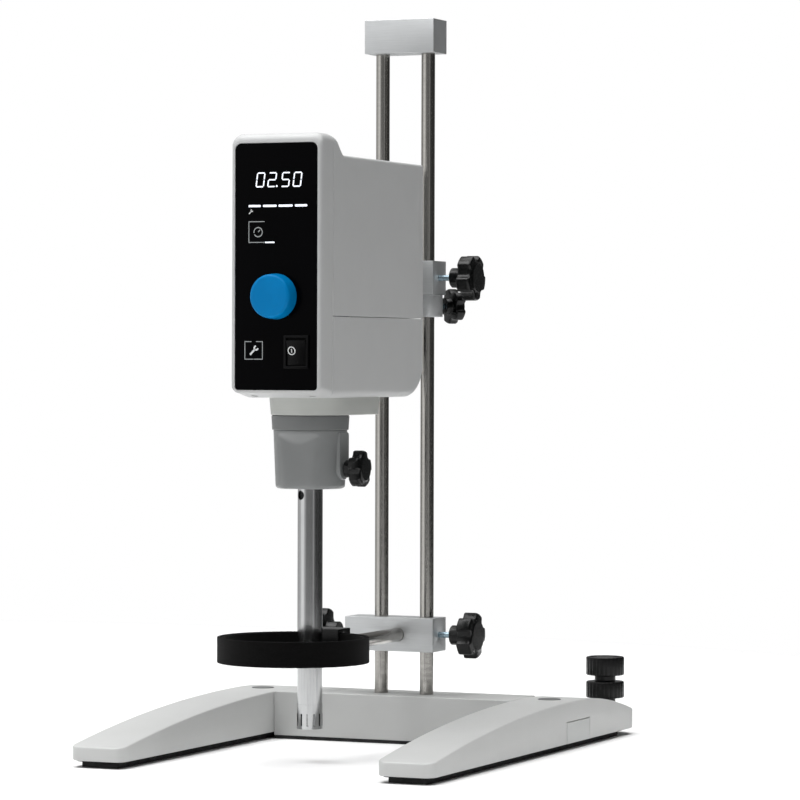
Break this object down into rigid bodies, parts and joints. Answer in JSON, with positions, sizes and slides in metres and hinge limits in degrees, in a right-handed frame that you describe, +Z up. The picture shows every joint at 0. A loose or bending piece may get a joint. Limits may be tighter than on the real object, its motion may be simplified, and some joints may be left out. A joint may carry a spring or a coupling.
{
  "type": "rotor stator homogenizer",
  "caption": "Motor head with a rotor stator dispersing tool, raised and clamped on twin rods over an H-shaped stand, with a strap clamp for a vessel",
  "frame": {"origin": "on the bench, at the middle of the footprint of the legs", "axes": "+Z up, the control panel faces -Y, +X to the right as seen from the front"},
  "size_m": [0.38, 0.56, 0.7415],
  "materials": {
    "painted_casting": "powder-coated light grey",
    "rubber_sole": "moulded rubber",
    "plastic_cover": "moulded light grey",
    "rod_steel": "centreless ground stainless steel",
    "block_aluminium": "sawn and satin anodised",
    "zinc_steel": "zinc plated",
    "knob_black": "moulded glass-filled nylon",
    "housing_grey": "finely textured moulded housing",
    "panel_black": "gloss black overlay",
    "switch_black": "moulded switch",
    "knob_blue": "soft moulded blue",
    "neck_grey": "light grey moulding",
    "coupling_grey": "mid grey glass-filled moulding",
    "tool_steel": "polished stainless steel",
    "board_green": "circuit board with components",
    "motor_core": "varnished laminations",
    "motor_casting": "die-cast aluminium",
    "copper": "enamelled copper wire",
    "bearing_steel": "ground bearing steel",
    "fan_plastic": "moulded nylon",
    "bush_white": "PTFE bush",
    "strap_black": "woven hook-and-loop webbing"
  },
  "bodies": {
    "stand": {"cross_beam": "painted_casting", "beam_sheet": "rubber_sole", "left_leg": "painted_casting", "right_leg": "painted_casting", "left_leg_strip": "rubber_sole", "right_leg_strip": "rubber_sole", "stand_screws": "zinc_steel", "leg_plugs": "plastic_cover", "access_covers": "plastic_cover", "left_rod": "rod_steel", "right_rod": "rod_steel", "top_block": "block_aluminium"},
    "levelling_screw": {"levelling_screw": "zinc_steel"},
    "levelling_knob": {"levelling_knob": "knob_black"},
    "lock_nut": {"lock_nut": "knob_black"},
    "head": {"head_block": "block_aluminium", "support_bar": "rod_steel", "front_bezel": "housing_grey", "front_panel": "panel_black", "upper_shell": "housing_grey", "lower_shell": "housing_grey", "neck_flange": "neck_grey", "head_screws": "zinc_steel", "display_board": "board_green", "power_board": "board_green", "power_inlet": "switch_black", "encoder": "switch_black", "switch_frame": "switch_black", "motor_frame": "motor_casting", "motor_stator": "motor_core", "field_coils": "copper", "brush_bridge": "fan_plastic", "motor_bearings": "bearing_steel", "coupling_ring": "coupling_grey", "coupling_cup": "coupling_grey"},
    "rocker": {"rocker": "switch_black"},
    "speed_knob": {"speed_knob": "knob_blue"},
    "drive": {"armature": "copper", "motor_shaft": "bearing_steel", "cooling_fan": "fan_plastic"},
    "tool": {"tool_tube": "tool_steel", "tool_bushes": "bush_white", "stator_head": "tool_steel"},
    "tool_shaft": {"tool_shaft": "bearing_steel", "rotor": "tool_steel"},
    "head_stud": {"head_stud": "zinc_steel"},
    "head_knob": {"head_knob": "knob_black"},
    "stop_collar": {"stop_collar": "block_aluminium"},
    "collar_stud": {"collar_stud": "zinc_steel"},
    "collar_knob": {"collar_knob": "knob_black"},
    "cup_stud": {"cup_stud": "zinc_steel"},
    "cup_knob": {"cup_knob": "knob_black"},
    "vessel_clamp": {"clamp_block": "block_aluminium"},
    "right_clamp_stud": {"right_clamp_stud": "zinc_steel"},
    "right_clamp_knob": {"right_clamp_knob": "knob_black"},
    "left_clamp_stud": {"left_clamp_stud": "zinc_steel"},
    "left_clamp_knob": {"left_clamp_knob": "knob_black"},
    "strap_arm": {"strap_bar": "rod_steel", "strap_cradle": "knob_black", "strap": "strap_black"}
  },
  "joints": [
    {"name": "levelling_screw_rise", "type": "slide", "parent": "stand", "child": "levelling_screw", "axis": [0, 0, 1], "range_m": [0, 0.005]},
    {"name": "levelling_knob_turn", "type": "hinge", "parent": "levelling_screw", "child": "levelling_knob", "pos_m": [0.161, 0.251, 0.07], "axis": [0, 0, 1], "range_deg": [0, 1440]},
    {"name": "lock_nut_turn", "type": "hinge", "parent": "stand", "child": "lock_nut", "pos_m": [0.161, 0.251, 0.045], "axis": [0, 0, 1], "range_deg": [0, 360]},
    {"name": "head_slide", "type": "slide", "parent": "stand", "child": "head", "axis": [0, 0, 1], "range_m": [0, 0.213]},
    {"name": "rocker_tip", "type": "hinge", "parent": "head", "child": "rocker", "pos_m": [0.022, -0.2133, 0.3995], "axis": [-1, 0, 0], "range_deg": [0, 14]},
    {"name": "speed_knob_turn", "type": "hinge", "parent": "head", "child": "speed_knob", "pos_m": [0, -0.2193, 0.4525], "axis": [0, -1, 0], "continuous": true},
    {"name": "drive_spin", "type": "hinge", "parent": "head", "child": "drive", "pos_m": [0, -0.14, 0.4155], "axis": [0, 0, 1], "continuous": true},
    {"name": "tool_release", "type": "slide", "parent": "head", "child": "tool", "axis": [0, 0, -1], "range_m": [0, 0.031]},
    {"name": "tool_shaft_spin", "type": "hinge", "parent": "tool", "child": "tool_shaft", "pos_m": [0, -0.14, 0.15], "axis": [0, 0, 1], "continuous": true},
    {"name": "head_stud_draw", "type": "slide", "parent": "head", "child": "head_stud", "axis": [1, 0, 0], "range_m": [0, 0.002]},
    {"name": "head_knob_turn", "type": "hinge", "parent": "head_stud", "child": "head_knob", "pos_m": [0.07, 0.09, 0.4766], "axis": [1, 0, 0], "range_deg": [0, 720]},
    {"name": "stop_collar_slide", "type": "slide", "parent": "stand", "child": "stop_collar", "axis": [0, 0, 1], "range_m": [-0.1, 0]},
    {"name": "collar_stud_draw", "type": "slide", "parent": "stop_collar", "child": "collar_stud", "axis": [0.5736, 0.8192, 0], "range_m": [0, 0.002]},
    {"name": "collar_knob_turn", "type": "hinge", "parent": "collar_stud", "child": "collar_knob", "pos_m": [0.03682, 0.10638, 0.44785], "axis": [0.5736, 0.8192, 0], "range_deg": [0, 720]},
    {"name": "cup_stud_draw", "type": "slide", "parent": "head", "child": "cup_stud", "axis": [1, 0, 0], "range_m": [0, 0.002]},
    {"name": "cup_knob_turn", "type": "hinge", "parent": "cup_stud", "child": "cup_knob", "pos_m": [0.045, -0.14, 0.2865], "axis": [1, 0, 0], "range_deg": [0, 720]},
    {"name": "vessel_clamp_slide", "type": "slide", "parent": "stand", "child": "vessel_clamp", "axis": [0, 0, 1], "range_m": [-0.035, 0.12]},
    {"name": "right_clamp_stud_draw", "type": "slide", "parent": "vessel_clamp", "child": "right_clamp_stud", "axis": [1, 0, 0], "range_m": [0, 0.002]},
    {"name": "right_clamp_knob_turn", "type": "hinge", "parent": "right_clamp_stud", "child": "right_clamp_knob", "pos_m": [0.07, 0.09, 0.1106], "axis": [1, 0, 0], "range_deg": [0, 720]},
    {"name": "left_clamp_stud_draw", "type": "slide", "parent": "vessel_clamp", "child": "left_clamp_stud", "axis": [-1, 0, 0], "range_m": [0, 0.002]},
    {"name": "left_clamp_knob_turn", "type": "hinge", "parent": "left_clamp_stud", "child": "left_clamp_knob", "pos_m": [-0.09, 0.09, 0.1106], "axis": [-1, 0, 0], "range_deg": [0, 720]},
    {"name": "strap_bar_slide", "type": "slide", "parent": "vessel_clamp", "child": "strap_arm", "axis": [0, 1, 0], "range_m": [-0.01, 0.05]}
  ],
  "couplings": [
    {"joint": "tool_shaft_spin", "follows": "drive_spin", "ratio": 1},
    {"joint": "levelling_knob_turn", "follows": "levelling_screw_rise", "rad_per_m": 5026.5},
    {"joint": "head_knob_turn", "follows": "head_stud_draw", "rad_per_m": 6283.2},
    {"joint": "collar_knob_turn", "follows": "collar_stud_draw", "rad_per_m": 6283.2},
    {"joint": "cup_knob_turn", "follows": "cup_stud_draw", "rad_per_m": 6283.2},
    {"joint": "right_clamp_knob_turn", "follows": "right_clamp_stud_draw", "rad_per_m": 6283.2},
    {"joint": "left_clamp_knob_turn", "follows": "left_clamp_stud_draw", "rad_per_m": 6283.2}
  ]
}
